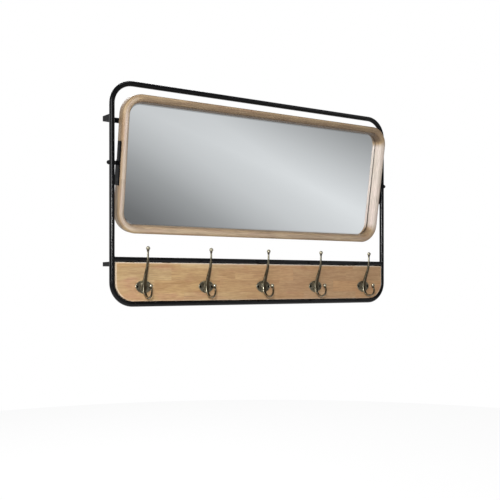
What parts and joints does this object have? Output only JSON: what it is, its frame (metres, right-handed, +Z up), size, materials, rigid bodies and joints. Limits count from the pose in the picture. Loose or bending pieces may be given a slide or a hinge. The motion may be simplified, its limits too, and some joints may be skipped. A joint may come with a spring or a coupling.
{
  "type": "wall mirror with coat hooks",
  "caption": "Wall-hung tube frame that holds a wood-framed tilting mirror above a wooden board with double coat hooks.",
  "frame": {"origin": "middle of the rectangle of keyhole entries in the wall hangers, on the wall plane", "axes": "+X to the right along the wall, +Z up, +Y into the wall, so the front looks towards -Y"},
  "size_m": [0.9952, 0.1353, 0.625],
  "materials": {
    "black_tube": "satin black powder coat",
    "black_steel": "satin black powder coat",
    "board_wood": "oiled, straight grain",
    "frame_wood": "oiled, rounded edges",
    "aged_brass": "aged, dark in the hollows",
    "brass_screws": "aged, slotted heads",
    "zinc_screws": "zinc plated",
    "zinc_clips": "zinc plated",
    "black_plastic": "matte",
    "silvered_glass": "polished, silvered at the back",
    "hardboard": "pressed board",
    "black_screws": "black",
    "black_bolts": "satin black"
  },
  "bodies": {
    "frame": {"upper_tube": "black_tube", "lower_tube": "black_tube", "crossbar": "black_tube", "upper_hanger_left": "black_steel", "upper_hanger_right": "black_steel", "lower_hanger_left": "black_steel", "lower_hanger_right": "black_steel", "hook_board": "board_wood", "board_tabs": "black_steel", "board_tab_screws": "zinc_screws", "hook_1": "aged_brass", "hook_2": "aged_brass", "hook_3": "aged_brass", "hook_4": "aged_brass", "hook_5": "aged_brass", "hook_screws": "brass_screws", "pivot_bushes_left": "black_plastic", "pivot_bushes_right": "black_plastic"},
    "mirror": {"top_rail": "frame_wood", "bottom_rail": "frame_wood", "left_stile": "frame_wood", "right_stile": "frame_wood", "mirror_glass": "silvered_glass", "backing_board": "hardboard", "backing_clips": "zinc_clips", "backing_clip_screws": "zinc_screws", "side_plate_left": "black_steel", "side_plate_right": "black_steel", "side_plate_screws": "black_screws", "pivot_bolt_left": "black_bolts", "pivot_bolt_right": "black_bolts"}
  },
  "joints": [
    {"name": "mirror_tilt", "type": "hinge", "parent": "frame", "child": "mirror", "pos_m": [0, -0.068, 0.07225], "axis": [1, 0, 0], "range_deg": [-23, 4.5]}
  ]
}
